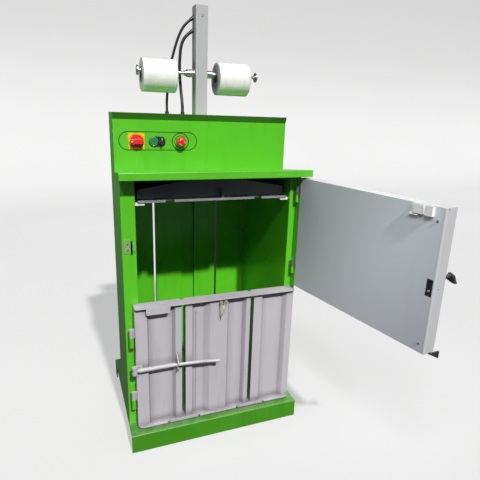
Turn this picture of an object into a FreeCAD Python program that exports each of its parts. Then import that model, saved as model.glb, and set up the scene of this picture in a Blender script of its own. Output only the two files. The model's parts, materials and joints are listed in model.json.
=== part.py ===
import FreeCAD, Part
import math, os
import Sketcher

# Small vertical baler for film and cardboard: a folded-sheet body on a plate base, a ram with a
# platen under a square mast, a hinged upper door (stored open), a hinged lower gate with a swing
# bar, a control panel, and two strap rolls on arms beside the mast.
# Frame: X to the right, Y to the back, Z up, z = 0 on the floor, y = 0 at the posts' front faces.

V = FreeCAD.Vector
doc = FreeCAD.newDocument("VerticalBaler")

DIMS = dict(
    gauge=3, body_w=700, post_left=52, post_right=28, column_deep=264, chamber_deep=480,
    base_high=77, base_plate=4, base_front=82, base_back=515, base_left=352, base_right=371,
    roof_top=1085, roof_ply=3, box_front=137, box_top=1304, panel_lip=24,
    hood_front=65, hood_top=1110, hood_low=1083, hood_left=357, hood_right=384,
    lip_proud=30, strap_slot=12, strap_slot_right=10, lip_right=33, groove_deep=20,
    gate_left_x=320, gate_right_x=346, gate_low=89, gate_high=606, gate_front=42, gate_back=3,
    gate_slot=15, gate_pan=25, gate_top_edge=58, gate_low_edge=62,
    door_w=640, door_low=618, door_high=1076, door_thick=48, door_bend=6.5, door_open=10.14,
    door_pin_x=344, door_pin_y=20, mast_w=48, mast_d=56, mast_x=5, mast_y=230, mast_top=1668,
    cap_high=38, platen_z=990, platen_ply=8, web_high=66, web_end=38,
    rod_r=10, barrel_r=20, bore_r=17, roll_r=62.5, roll_wide=130, roll_z=1445, core_r=30,
    roll_hang=15, spindle_r=6, pin_r=3, lever_z=351, hose_r1=5, hose_r2=6)

dims = doc.addObject("Spreadsheet::Sheet", "Dims")
for row, (alias, amount) in enumerate(DIMS.items(), start=1):
    dims.set("A%d" % row, alias)
    dims.set("B%d" % row, str(amount))
    dims.setAlias("B%d" % row, alias)
doc.recompute()


class Num:
    """A length together with the sheet expression that gives it."""

    def __init__(self, value, text):
        self.value, self.text = float(value), text

    @staticmethod
    def of(v):
        return v if isinstance(v, Num) else Num(v, "(%.6f)" % v)

    def __add__(self, o):
        o = Num.of(o)
        return Num(self.value + o.value, "(%s + %s)" % (self.text, o.text))

    def __sub__(self, o):
        o = Num.of(o)
        return Num(self.value - o.value, "(%s - %s)" % (self.text, o.text))

    def __mul__(self, o):
        o = Num.of(o)
        return Num(self.value * o.value, "(%s * %s)" % (self.text, o.text))

    def __truediv__(self, o):
        o = Num.of(o)
        return Num(self.value / o.value, "(%s / %s)" % (self.text, o.text))

    def __neg__(self):
        return Num(-self.value, "(-%s)" % self.text)

    def __radd__(self, o):
        return Num.of(o) + self

    def __rsub__(self, o):
        return Num.of(o) - self

    def __rmul__(self, o):
        return Num.of(o) * self


D = {k: Num(v, "Dims." + k) for k, v in DIMS.items()}
G = D["gauge"]


def val(q):
    return q.value if isinstance(q, Num) else float(q)


def bind(obj, prop, q):
    if isinstance(q, Num):
        obj.setExpression(prop, q.text)


def place(obj, at=(0, 0, 0), axis=(0, 0, 1), angle=0):
    turn = FreeCAD.Rotation(V(*axis), val(angle))
    obj.Placement = FreeCAD.Placement(V(*[val(q) for q in at]), turn)
    for name, q in zip("xyz", at):
        bind(obj, "Placement.Base." + name, q)
    bind(obj, "Placement.Rotation.Angle", angle)


NODES, CUTS = [], []


def node(obj, name):
    obj.Label = name
    NODES.append(obj)
    return obj


def body(name, at=(0, 0, 0), axis=(0, 0, 1), angle=0):
    b = doc.addObject("PartDesign::Body", name)
    place(b, at, axis, angle)
    return node(b, name)


def constrain(sk, kind, geo, pos, q):
    axis = -2 if kind == "DistanceX" else -1
    if not isinstance(q, Num) and abs(q) < 1e-9:
        sk.addConstraint(Sketcher.Constraint("PointOnObject", geo, pos, axis))
        return
    k = sk.addConstraint(Sketcher.Constraint(kind, -1, 1, geo, pos, val(q)))
    bind(sk, "Constraints[%d]" % k, q)


def sketch(b, role, loops, start=0):
    """A sketch of closed polygons and circles, `start` along the plane's own world axis."""
    sk = b.newObject("Sketcher::SketchObject", "Sketch")
    plane = [o for o in b.Origin.OriginFeatures if o.Role == role + "_Plane"][0]
    sk.AttachmentSupport = [(plane, "")]
    sk.MapMode = "FlatFace"
    if role == "XZ":
        start = -start
    if isinstance(start, Num) or start:
        sk.AttachmentOffset = FreeCAD.Placement(V(0, 0, val(start)), FreeCAD.Rotation())
        bind(sk, "AttachmentOffset.Base.z", start)
    for loop in loops:
        first = sk.GeometryCount
        if loop[0] == "circle":
            x, y, r = loop[1:]
            sk.addGeometry(Part.Circle(V(val(x), val(y), 0), V(0, 0, 1), val(r)), False)
            constrain(sk, "DistanceX", first, 3, x)
            constrain(sk, "DistanceY", first, 3, y)
            k = sk.addConstraint(Sketcher.Constraint("Radius", first, val(r)))
            bind(sk, "Constraints[%d]" % k, r)
            continue
        n = len(loop)
        for i in range(n):
            a, c = loop[i], loop[(i + 1) % n]
            sk.addGeometry(Part.LineSegment(V(val(a[0]), val(a[1]), 0),
                                            V(val(c[0]), val(c[1]), 0)), False)
        for i in range(n):
            nxt = first + (i + 1) % n
            sk.addConstraint(Sketcher.Constraint("Coincident", first + i, 2, nxt, 1))
        for i, (x, y) in enumerate(loop):
            constrain(sk, "DistanceX", first + i, 1, x)
            constrain(sk, "DistanceY", first + i, 1, y)
    return sk


def pad(b, role, loops, start, length):
    f = b.newObject("PartDesign::Pad", "Pad")
    f.Profile = sketch(b, role, loops, start)
    f.Length = val(length)
    f.Reversed = role == "XZ"
    bind(f, "Length", length)
    return f


def cut(b, role, loops, start, length):
    f = b.newObject("PartDesign::Pocket", "Pocket")
    f.Profile = sketch(b, role, loops, start)
    f.Length = val(length)
    f.Reversed = role != "XZ"
    bind(f, "Length", length)
    CUTS.append(f)
    return f


def revolve(b, points):
    """Turns an (r, z) outline round the body's Z axis."""
    f = b.newObject("PartDesign::Revolution", "Revolution")
    sk = sketch(b, "XZ", [points])
    f.Profile = sk
    f.ReferenceAxis = (sk, ["V_Axis"])
    f.Angle = 360
    return f


def fillet(b, base, radius, pick):
    doc.recompute()
    names = ["Edge%d" % (i + 1) for i, e in enumerate(base.Shape.Edges) if pick(e)]
    f = b.newObject("PartDesign::Fillet", "Fillet")
    f.Base = (base, names)
    f.Radius = val(radius)
    bind(f, "Radius", radius)
    return f


def upright(e, *corners):
    """True for a vertical straight edge through one of the given (x, y) corners."""
    p, q = e.Vertexes[0].Point, e.Vertexes[-1].Point
    if abs(p.x - q.x) > 0.01 or abs(p.y - q.y) > 0.01 or abs(p.z - q.z) < 1:
        return False
    return not corners or any(abs(p.x - val(x)) < 0.1 and abs(p.y - val(y)) < 0.1
                              for x, y in corners)


def rect(x0, y0, x1, y1):
    return [(x0, y0), (x1, y0), (x1, y1), (x0, y1)]


def fold(path, ply=G, side=1):
    """Closed outline of a folded sheet: the path is one face, the ply lies on its left side."""
    pts = [(val(x), val(y)) for x, y in path]
    far = []
    for i, (x, y) in enumerate(path):
        dirs = []
        for a, c in ((i - 1, i), (i, i + 1)):
            if 0 <= a and c < len(pts):
                dx, dy = pts[c][0] - pts[a][0], pts[c][1] - pts[a][1]
                ln = math.hypot(dx, dy)
                dirs.append((-dy / ln * side, dx / ln * side))
        nx, ny = dirs[0][0] + dirs[-1][0], dirs[0][1] + dirs[-1][1]
        k = 2 / (nx * nx + ny * ny)
        far.append((x + round(nx * k, 5) * ply, y + round(ny * k, 5) * ply))
    return list(path) + far[::-1]


def box(name, x0, y0, z0, x1, y1, z1):
    o = doc.addObject("Part::Box", name)
    for prop, a, c in (("Length", x0, x1), ("Width", y0, y1), ("Height", z0, z1)):
        setattr(o, prop, val(c) - val(a))
        if isinstance(a, Num) or isinstance(c, Num):
            bind(o, prop, Num.of(c) - a)
    place(o, (x0, y0, z0))
    return o


def rod(name, at, radius, length, axis=(0, 0, 1), angle=0):
    o = doc.addObject("Part::Cylinder", name)
    o.Radius, o.Height = val(radius), val(length)
    bind(o, "Radius", radius)
    bind(o, "Height", length)
    place(o, at, axis, angle)
    return o


def less(name, base, tool):
    o = doc.addObject("Part::Cut", name)
    o.Base, o.Tool = base, tool
    return o


def group(name, parts):
    o = doc.addObject("Part::MultiFuse", name)
    o.Shapes = parts
    return node(o, name)


LEFT = -D["body_w"] / 2
RIGHT = D["body_w"] / 2
IN_L = LEFT + D["post_left"]
IN_R = RIGHT - D["post_right"]
DEEP = D["chamber_deep"]
LIP_END = DEEP + D["groove_deep"] + G
COL_DEEP = D["column_deep"]
FLOOR = D["base_high"]
ROOF = D["roof_top"] - D["roof_ply"]


# ---------------------------------------------------------------- base and body

def make_base():
    """Folded plate with a front and a rear skirt; the sides stay open for a pallet truck."""
    t = D["base_plate"]
    b = body("base_plate", (-D["base_left"], 0, 0))
    wide = D["base_left"] + D["base_right"]
    front, back = -D["base_front"], D["base_back"]
    f = pad(b, "YZ", [fold([(front, 0), (front, FLOOR), (back, FLOOR), (back, 0)], t, -1)],
            0, wide)
    fillet(b, f, 4, lambda e: e.BoundBox.XLength > 100 and e.BoundBox.ZMin > val(FLOOR) - 0.1
           and e.BoundBox.YMax < val(front) + 0.1)
    for x in (0, wide - t):
        pad(b, "YZ", [rect(back - 44, 0, back - t, FLOOR - t)], x, t)


def make_base_channel():
    """Channel under the plate from skirt to skirt; its web rests on the floor."""
    t = D["base_plate"]
    b = body("base_channel")
    pad(b, "XZ", [fold([(-40, FLOOR - t), (-40, 0), (40, 0), (40, FLOOR - t)], t, 1)],
        t - D["base_front"], D["base_front"] + D["base_back"] - 2 * t)


def cheek():
    """Side of the control box, stepped under the panel's top return."""
    high, front = D["box_top"] - FLOOR, D["box_front"] + G
    return [(front, ROOF - FLOOR), (COL_DEEP, ROOF - FLOOR), (COL_DEEP, high),
            (front + 10, high), (front + 10, high - G), (front, high - G)]


def make_left_column():
    """Hollow front column whose outer sheet runs up as the control box's cheek."""
    b = body("left_column", (0, 0, FLOOR))
    outer = rect(LEFT, 0, IN_L, COL_DEEP)
    inner = rect(LEFT + G, G, IN_L - G, COL_DEEP - G)
    f = pad(b, "XY", [outer, inner], 0, ROOF - FLOOR)
    fillet(b, f, 2.5, lambda e: upright(e, (LEFT, 0), (IN_L, 0)))
    pad(b, "YZ", [cheek()], LEFT, G)
    cut(b, "XZ", [rect(LEFT + 31.5, 722, LEFT + 37.5, 776)], -1, G + 2)


def make_right_column():
    """Narrow column with the side sheet that stands proud as the hinge lip."""
    b = body("right_column", (0, 0, FLOOR))
    outer = rect(IN_R, 0, RIGHT, COL_DEEP)
    inner = rect(IN_R + G, G, RIGHT - G, COL_DEEP - G)
    f = pad(b, "XY", [outer, inner], 0, ROOF - FLOOR)
    fillet(b, f, 2.5, lambda e: upright(e, (IN_R, 0)))
    lip = -D["lip_proud"]
    outline = cheek()
    pad(b, "YZ", [[(lip, 0), (COL_DEEP, 0)] + outline[2:] + [outline[0], (lip, outline[0][1])]],
        RIGHT, G)


def make_chamber():
    """Three folded sheets that wrap the chamber and leave two strap slots in its back."""
    high = ROOF - FLOOR
    s, s_right = D["strap_slot"], D["strap_slot_right"]
    left_end, right_start = -144 - s / 2, 168 + s_right / 2
    right_lip = DEEP + D["lip_right"]
    b = body("chamber_left", (0, 0, FLOOR))
    pad(b, "XY", [fold([(IN_L, COL_DEEP), (IN_L, DEEP), (left_end, DEEP),
                        (left_end, LIP_END)])], 0, high)
    b = body("chamber_mid", (0, 0, FLOOR))
    x0, x1, pit = left_end + s, right_start - s_right, DEEP + D["groove_deep"]
    pad(b, "XY", [fold([(x0, LIP_END), (x0, DEEP), (-12, DEEP), (-12, pit), (55, pit),
                        (55, DEEP), (x1, DEEP), (x1, right_lip)])], 0, high)
    b = body("chamber_right", (0, 0, FLOOR))
    pad(b, "XY", [fold([(right_start, right_lip), (right_start, DEEP), (IN_R, DEEP),
                        (IN_R, COL_DEEP)])], 0, high)


def make_floor():
    """Chamber floor with two grooves for the strap."""
    b = body("chamber_floor", (0, 0, FLOOR))
    pad(b, "XY", [rect(IN_L, 0, IN_R, DEEP)], 0, 8)
    cut(b, "XY", [rect(-147, -1, -131, DEEP + 1), rect(152, -1, 168, DEEP + 1)], 3, 6)


def make_roof():
    """Chamber roof with a turned-down header and the hole for the cylinder."""
    b = body("roof_plate", (0, 0, ROOF))
    pad(b, "XY", [[(LEFT + G, 0), (RIGHT, 0), (RIGHT, COL_DEEP), (IN_R + G, COL_DEEP),
                   (IN_R + G, LIP_END), (IN_L - G, LIP_END), (IN_L - G, COL_DEEP),
                   (LEFT + G, COL_DEEP)]], 0, D["roof_ply"])
    pad(b, "XY", [rect(IN_L, 20, IN_R, 23)], -14, 14)
    cut(b, "XY", [("circle", D["mast_x"], D["mast_y"], D["barrel_r"] + 0.3)], -1, 5)


def make_hood():
    """Folded hood over the doors, closed at both ends."""
    b = body("awning", (-D["hood_left"], 0, 0))
    wide = D["hood_left"] + D["hood_right"]
    front, top, low = -D["hood_front"], D["hood_top"], D["hood_low"]
    back, rear_z = D["box_front"], D["roof_top"] + G
    f = pad(b, "YZ", [fold([(front, low), (front, top), (back, rear_z)], G, -1)], 0, wide)
    fillet(b, f, 3, lambda e: e.BoundBox.XLength > 100
           and abs(e.BoundBox.ZMin - val(top)) < 0.1)
    for x in (0, wide - G):
        pad(b, "YZ", [[(front + 2, low), (0, low), (back - 1, rear_z - 2.5),
                       (front + 2, top - 2)]], x, G)


def make_panel():
    """Control panel with a forward-leaning top lip and the holes of its four devices."""
    b = body("control_panel", (LEFT, 0, 0))
    y, top = D["box_front"], D["box_top"]
    path = [(y, D["roof_top"]), (y, top - D["panel_lip"]), (y - 9, top), (y + 13, top)]
    pad(b, "YZ", [fold(path, G, -1)], 0, RIGHT - LEFT + G)
    holes = [(-266, 1201, 6.5), (-202, 1202, 14.4), (-173, 1204, 6.5), (-98, 1201, 10.5)]
    cut(b, "XZ", [("circle", x - LEFT, z, r) for x, z, r in holes], y - 1, G + 2)


def make_cover():
    """Service cover: the control box's top and back in one folded sheet, with louvre slots."""
    b = body("box_cover", (LEFT + G, 0, 0))
    y, top = D["box_front"] + 13, D["box_top"]
    pad(b, "YZ", [fold([(y, top), (COL_DEEP, top), (COL_DEEP, D["roof_top"])], G, -1)],
        0, RIGHT - LEFT - G)
    mx = D["mast_x"] - LEFT - G
    my, hw, hd = D["mast_y"], D["mast_w"] / 2 + 1.5, D["mast_d"] / 2 + 1.5
    cut(b, "XY", [rect(mx - hw, my - hd, mx + hw, my + hd)], top - G - 1, G + 2)
    slot = cut(b, "XZ", [rect(90, 1130, 150, 1135), rect(530, 1130, 590, 1135)],
               COL_DEEP - G - 1, G + 2)
    rows = b.newObject("PartDesign::LinearPattern", "Louvres")
    rows.Originals = [slot]
    rows.Direction = (slot.Profile[0], ["V_Axis"])
    rows.Length, rows.Occurrences = 112, 8
    b.Tip = rows


# ---------------------------------------------------------------- mast, ram and rolls

def make_mast():
    hw, hd = D["mast_w"] / 2, D["mast_d"] / 2
    at = (D["mast_x"], D["mast_y"], D["roof_top"])
    b = body("mast_tube", at)
    f = pad(b, "XY", [rect(-hw, -hd, hw, hd), rect(G - hw, G - hd, hw - G, hd - G)],
            0, D["mast_top"] - D["roof_top"])
    fillet(b, f, 2.8, lambda e: upright(e, (-hw, -hd), (hw, -hd), (hw, hd), (-hw, hd)))
    b = body("mast_cap", (D["mast_x"], D["mast_y"], D["mast_top"]))
    f = pad(b, "XY", [rect(-hw, -hd, hw, hd)], 0, D["cap_high"])
    fillet(b, f, 2.8, lambda e: upright(e) or e.BoundBox.ZMin > val(D["cap_high"]) - 0.1)
    cut(b, "XY", [rect(G - hw, G - hd, hw - G, hd - G)], -1, D["cap_high"] - 3)


def make_ram():
    """Hydraulic barrel in the mast, and the rod with its piston."""
    low = 1072
    b = body("cylinder_barrel", (D["mast_x"], D["mast_y"], low))
    ro, rb, rr = D["barrel_r"], D["bore_r"], D["rod_r"] + 0.05
    revolve(b, [(rr, 0), (ro, 0), (ro, 578), (0, 578), (0, 570), (rb, 570), (rb, 30), (rr, 30)])
    b = body("ram_rod", (D["mast_x"], D["mast_y"], D["platen_z"] + D["platen_ply"] + 4))
    rp = D["bore_r"] - 0.05
    revolve(b, [(0, 0), (D["rod_r"], 0), (D["rod_r"], 614), (rp, 614), (rp, 636), (0, 636)])


def make_platen():
    """Platen plate with strap notches; webs and a long spine carry it from the rod socket."""
    z, t = D["platen_z"], D["platen_ply"]
    x0, x1, y0, y1 = IN_L + 10, IN_R - 10, 10, DEEP - 6
    b = body("platen", (0, 0, z))
    f = pad(b, "XY", [rect(x0, y0, x1, y1)], 0, t)
    fillet(b, f, 6, lambda e: upright(e))
    for a, c in ((-185, -152), (170, 201)):
        cut(b, "XY", [rect(a, y0 - 1, c, y0 + 22), rect(a, y1 - 22, c, y1 + 1)], -1, t + 2)
    b = body("platen_webs", (0, 0, z + t))
    b.AllowCompound = True
    he, hc = D["web_end"], D["web_high"]
    web = [(x0 + 5, 0), (x1 - 6, 0), (x1 - 4, he - 8), (x1 - 12, he), (120, hc), (-100, hc),
           (x0 + 14, he), (x0 + 5, he - 8)]
    for y in (40, y1 - 46):
        pad(b, "XZ", [web], y, 8)
    b = body("platen_spine", (0, 0, z + t))
    b.AllowCompound = True
    mx, my = D["mast_x"], D["mast_y"]
    pad(b, "YZ", [[(48, 0), (y1 - 46, 0), (y1 - 46, hc - 10), (my + 60, hc - 14),
                   (my - 60, hc - 14), (48, hc - 10)]], mx - 4, 8)
    pad(b, "XY", [("circle", mx, my, 24)], 0, 48)
    cut(b, "XY", [("circle", mx, my, D["rod_r"] + 0.02)], 4, 60)
    pad(b, "YZ", [[(14, 0), (40, 0), (40, 34), (22, 34), (14, 26)]], 35, 6)


def make_guides():
    """Four nylon pads at the platen's corners that run along the chamber walls."""
    parts = []
    for i, (x, y) in enumerate([(IN_L + 2, 14), (IN_R - 36, 14),
                                (IN_L + 2, DEEP - 40), (IN_R - 36, DEEP - 40)]):
        parts.append(box("Pad%d" % i, x, y, D["platen_z"] - 9, x + 34, y + 30, D["platen_z"]))
    group("platen_guides", parts)


def make_spindles():
    """Arms beside the mast: a tapered boss, a lock nut, the plain rod, and a belled end knob."""
    hw, r = D["mast_w"] / 2, D["spindle_r"]
    z = D["roll_z"] + D["roll_hang"]
    knobs = []
    for name, side, reach in (("spindle_left", -1, 215), ("spindle_right", 1, 211)):
        start = D["mast_x"] + side * hw
        b = body(name, (start, D["mast_y"], z), (0, 1, 0), 90 * side)
        revolve(b, [(0, 0), (15, 0), (14, 30), (r, 30), (r, 32), (9.5, 32), (9.5, 40), (r, 40),
                    (r, reach), (0, reach)])
        for part, radius, at, thick in (("Hub", 9, reach, 4), ("Disc", 18.5, reach + 4, 5)):
            knobs.append(rod(part, (start + side * at, D["mast_y"], z), radius, thick,
                             (0, 1, 0), 90 * side))
    group("end_knobs", knobs)


def make_rolls():
    """Wound strap rolls on core tubes that hang on the arms, so the arms lie above the axis."""
    rc, wide = D["core_r"], D["roll_wide"]
    bore = D["roll_hang"] + D["spindle_r"] + 0.05
    for side, x in (("left", -226), ("right", 73)):
        b = body("roll_" + side, (x, D["mast_y"], D["roll_z"]), (0, 1, 0), 90)
        f = revolve(b, [(rc + 0.2, 0), (D["roll_r"], 0), (D["roll_r"], wide), (rc + 0.2, wide)])
        fillet(b, f, 2, lambda e: e.BoundBox.XLength > 100 and e.Closed)
        b = body("core_" + side, (x - 2, D["mast_y"], D["roll_z"]), (0, 1, 0), 90)
        revolve(b, [(bore, 0), (rc, 0), (rc, wide + 4), (bore, wide + 4)])


def make_hose(name, points, radius):
    """A hose as a tube: straight runs joined by arcs as large as the runs allow."""
    pts = [V(*p) for p in points]
    runs = [(b - a).Length for a, b in zip(pts, pts[1:])]
    edges, here, radii = [], pts[0], []
    for i in range(1, len(pts) - 1):
        u = (pts[i] - pts[i - 1]).normalize()
        w = (pts[i + 1] - pts[i]).normalize()
        half = u.getAngle(w) / 2
        step = 0.45 * min(runs[i - 1], runs[i])
        r = step / math.tan(half)
        radii.append(round(r))
        a, c = pts[i] - u * step, pts[i] + w * step
        mid_dir = (w - u).normalize()
        mid = pts[i] + mid_dir * (r / math.cos(half) - r)
        edges += [Part.LineSegment(here, a).toShape(), Part.Arc(a, mid, c).toShape()]
        here = c
    edges.append(Part.LineSegment(here, pts[-1]).toShape())
    wire = Part.Wire(edges)
    ring = Part.Wire(Part.Circle(pts[0], pts[1] - pts[0], radius).toShape())
    shape = wire.makePipeShell([ring], True, False)
    ideal = math.pi * radius * radius * wire.Length
    print(name, "radii", radii, "length %.1f" % wire.Length,
          "volume ratio %.4f" % (shape.Volume / ideal))
    o = doc.addObject("Part::Feature", name)
    o.Shape = shape
    place(o)
    return node(o, name)


GLAND_TILT = 38.0
GLAND_UP = (-19, 236, 1664)
GLAND_DOWN = (-19, 236, 1620)


def gland_mouth(base):
    a = math.radians(GLAND_TILT)
    return (base[0] - 15 * math.cos(a), base[1], base[2] - 15 * math.sin(a))


def make_hoses():
    """Two hoses from the mast's ports, behind the left roll, down into the control box."""
    end = val(D["box_top"]) + 8
    make_hose("hose_upper", [
        gland_mouth(GLAND_UP), (-48.2, 236, 1641.2), (-63.1, 239, 1621.4), (-75.3, 247.3, 1595.3),
        (-84, 260.1, 1565), (-91, 279, 1531), (-97, 295, 1496), (-102, 303, 1458),
        (-107.5, 299, 1420), (-114, 286, 1388), (-120, 268, 1363), (-123, 258, 1346),
        (-124, 253, 1329), (-124, 253, end)], val(D["hose_r1"]))
    make_hose("hose_lower", [
        gland_mouth(GLAND_DOWN), (-48.7, 236, 1596.8), (-62, 238.2, 1577.4),
        (-68.6, 243.6, 1553), (-68.9, 253.5, 1525.4), (-68.6, 264, 1496), (-66.5, 272, 1462),
        (-64, 273, 1427), (-62, 269, 1392), (-60.5, 261, 1362), (-60, 253, 1336),
        (-60, 253, end)], val(D["hose_r2"]))


def make_glands():
    """Hose glands: two slanted stubs on the mast and two upright ones on the box."""
    parts = []
    for i, base in enumerate((GLAND_UP, GLAND_DOWN)):
        a = math.radians(GLAND_TILT)
        back = 12
        start = (base[0] + back * math.cos(a), base[1], base[2] + back * math.sin(a))
        stub = rod("Stub%d" % i, start, 7, 15 + back, (0, 1, 0), -90 - GLAND_TILT)
        keep_out = box("Face%d" % i, base[0], base[1] - 20, base[2] - 30, base[0] + 40,
                       base[1] + 20, base[2] + 30)
        parts.append(less("Gland%d" % i, stub, keep_out))
    for i, x in enumerate((-124, -60)):
        parts.append(rod("Gland%d" % (i + 2), (x, 253, D["box_top"]), 8, 8))
    group("hose_glands", parts)


def make_power_pack():
    """Oil tank with the motor flange on it, closed in by the control box."""
    b = body("power_pack", (120, 0, D["roof_top"]))
    f = pad(b, "XY", [rect(0, 150, 190, 250)], 0, 110)
    fillet(b, f, 6, lambda e: upright(e))
    pad(b, "XY", [("circle", 95, 200, 44)], 110, 90)


# ---------------------------------------------------------------- upper door

def in_door(name):
    """A body in the door's own frame: X through the door, -Y along it, origin on the pins."""
    return body(name, (D["door_pin_x"], -D["door_pin_y"], 0), (0, 0, 1), D["door_open"])


FACE = 3.4
HEEL = 14.8
BACK = FACE + D["door_thick"]
LATCH = (-HEEL - 633, 805, -HEEL - 611.5, 860)


def make_door():
    """Folded pan whose rounded free edge turns over the inner face, closed by a flat liner."""
    w, low, high = D["door_w"], D["door_low"], D["door_high"]
    tip = -HEEL - w
    skin, thick, bend = 2, D["door_thick"], D["door_bend"]
    turned = tip + bend + 0.5
    y0, z0, y1, z1 = LATCH

    def free_edge(e, x, y):
        return e.BoundBox.ZLength > 100 and upright(e, (x, y))

    b = in_door("door_shell")
    pad(b, "YZ", [rect(tip, low, -HEEL, high)], FACE + skin, thick - skin)
    f = pad(b, "YZ", [rect(tip, low, turned, high)], FACE, skin)
    fillet(b, f, bend, lambda e: free_edge(e, FACE, tip))
    f = cut(b, "YZ", [rect(tip + skin, low + skin, -HEEL - skin, high - skin)], FACE + skin,
            thick - 2 * skin)
    fillet(b, f, bend - skin, lambda e: free_edge(e, FACE + skin, tip + skin))
    cut(b, "XZ", [("circle", FACE + 22, 829, 2.4), ("circle", FACE + 29, 836, 1.3),
                  rect(FACE + 7, high - 5, FACE + 12, high + 1)], tip - 1, 4)
    b = in_door("door_liner")
    pad(b, "YZ", [rect(turned, low, -HEEL, high)], FACE, skin)
    cut(b, "YZ", [rect(turned - 1, z0, y1, z1)], FACE - 1, skin + 2)
    b = in_door("latch_case")
    pad(b, "YZ", [rect(y0 + 0.2, z0 + 0.2, y1 - 0.2, z1 - 0.2)], FACE + 0.2, 19)
    cut(b, "YZ", [rect(y0 + 5, z0 + 5, y1 - 5, z1 - 5)], FACE - 1, 5)


def make_door_fittings():
    """Interlock tongue on the liner, screws, and the hook under the door's outer face."""
    b = in_door("interlock_bracket")
    far, near, back, out = -HEEL - 603.2, -HEEL - 523.7, -HEEL - 576.7, FACE - 12
    pad(b, "XY", [[(FACE, near), (FACE, far), (out, far), (out, back), (out + 2, back),
                   (out + 2, far + 2), (FACE - 2, far + 2), (FACE - 2, near)]], 1045, 30)
    pad(b, "XZ", [[(FACE - 2, 1045), (FACE - 9, 1039), (FACE - 10.3, 1040.5),
                   (FACE - 2, 1047.6)]], near - 30, 30)
    screws = [(FACE, 617.5, 1035.5, 4), (FACE, 619.3, 648.6, 3), (FACE - 2, 563, 1060, 4.5)]
    group("door_screws", [in_door_rod("Screw%d" % i, x, -HEEL - along, z, r, -2.6)
                          for i, (x, along, z, r) in enumerate(screws)])
    b = in_door("door_hook")
    pad(b, "XZ", [[(BACK, 660), (BACK, 600), (BACK + 53.6, 571), (BACK + 54, 596),
                   (BACK + 6, 601), (BACK + 6, 660)]], -HEEL - 628, 6)


def in_door_rod(name, x, y, z, radius, length):
    """A cylinder along the door's thickness, set by its place in the door's own frame."""
    a = math.radians(val(D["door_open"]))
    wx = val(D["door_pin_x"]) + x * math.cos(a) - y * math.sin(a)
    wy = -val(D["door_pin_y"]) + x * math.sin(a) + y * math.cos(a)
    o = doc.addObject("Part::Cylinder", name)
    o.Radius, o.Height = radius, abs(length)
    away = 1 if length > 0 else -1
    turn = FreeCAD.Rotation(V(0, 0, 1), V(away * math.cos(a), away * math.sin(a), 0))
    o.Placement = FreeCAD.Placement(V(wx, wy, z), turn)
    return o


HANDLE_Y, HANDLE_Z = -HEEL - 628.2, 860


def make_handle():
    """Quarter-turn handle: a round spindle through the door's face and a tapered grip."""
    start, grip = BACK + 0.4, BACK + 32
    y, z = HANDLE_Y, HANDLE_Z
    b = in_door("handle_spindle")
    pad(b, "YZ", [("circle", y, z, 7)], start, grip - start)
    b = in_door("door_handle")
    outline = [(y + 3, z + 9.5), (y - 14, z + 3), (y - 24, z - 19), (y - 12, z - 18.5),
               (y + 6, z - 12)]
    f = pad(b, "YZ", [outline], grip, 12)
    fillet(b, f, 2, lambda e: e.BoundBox.XMin > val(grip) + 11.9)


# ---------------------------------------------------------------- hinges

DOOR_PINS = ((344, -20, 700), (344, -20, 1005))
GATE_PINS = ((-332, -30, 480), (-332, -30, 207))


def make_hinges():
    """Lift-off hinges: a fixed half with its pin below, a moving half above."""
    seats = []
    for i, (x, y, z) in enumerate(DOOR_PINS):
        barrel = rod("Barrel%d" % i, (x, y, z - 30), 6, 30)
        seats.append(barrel)
        seats.append(box("Weld%d" % i, x + 2, y - 4, z - 30, RIGHT, y + 4, z))
    solid = doc.addObject("Part::MultiFuse", "DoorSeats")
    solid.Shapes = seats
    holes = doc.addObject("Part::MultiFuse", "DoorSeatHoles")
    holes.Shapes = [rod("Bore%d" % i, (x, y, z - 28), D["pin_r"] + 0.02, 30)
                    for i, (x, y, z) in enumerate(DOOR_PINS)]
    node(less("door_hinge_seats", solid, holes), "door_hinge_seats")
    seats = []
    for i, (x, y, z) in enumerate(GATE_PINS):
        seats.append(rod("GBarrel%d" % i, (x, y, z - 40), 9, 40))
        seats.append(box("GWeld%d" % i, x - 4, y + 5, z - 40, x + 4, 0, z))
    solid = doc.addObject("Part::MultiFuse", "GateSeats")
    solid.Shapes = seats
    holes = doc.addObject("Part::MultiFuse", "GateSeatHoles")
    holes.Shapes = [rod("GBore%d" % i, (x, y, z - 28), D["pin_r"] + 0.02, 30)
                    for i, (x, y, z) in enumerate(GATE_PINS)]
    node(less("gate_hinge_seats", solid, holes), "gate_hinge_seats")
    group("hinge_pins", [rod("Pin%d" % i, (x, y, z - 28), D["pin_r"], 60)
                         for i, (x, y, z) in enumerate(DOOR_PINS + GATE_PINS)])
    b = in_door("door_hinge_leaves")
    b.AllowCompound = True
    for z in (700.4, 1005.4):
        pad(b, "XY", [("circle", 0, 0, 6)], z, 33)
        pad(b, "XY", [rect(0.4, -HEEL - 5, FACE, -4.5)], z, 33)
    cut(b, "XY", [("circle", 0, 0, D["pin_r"] + 0.05)], 690, 400)
    b = body("gate_hinge_leaves", (-332, -30, 0))
    b.AllowCompound = True
    for z in (480.4, 207.4):
        pad(b, "XY", [("circle", 0, 0, 9)], z, 35)
        pad(b, "XY", [rect(5, -5, 12, 5)], z, 35)
    cut(b, "XY", [("circle", 0, 0, D["pin_r"] + 0.05)], 200, 400)


# ---------------------------------------------------------------- lower gate

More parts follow.
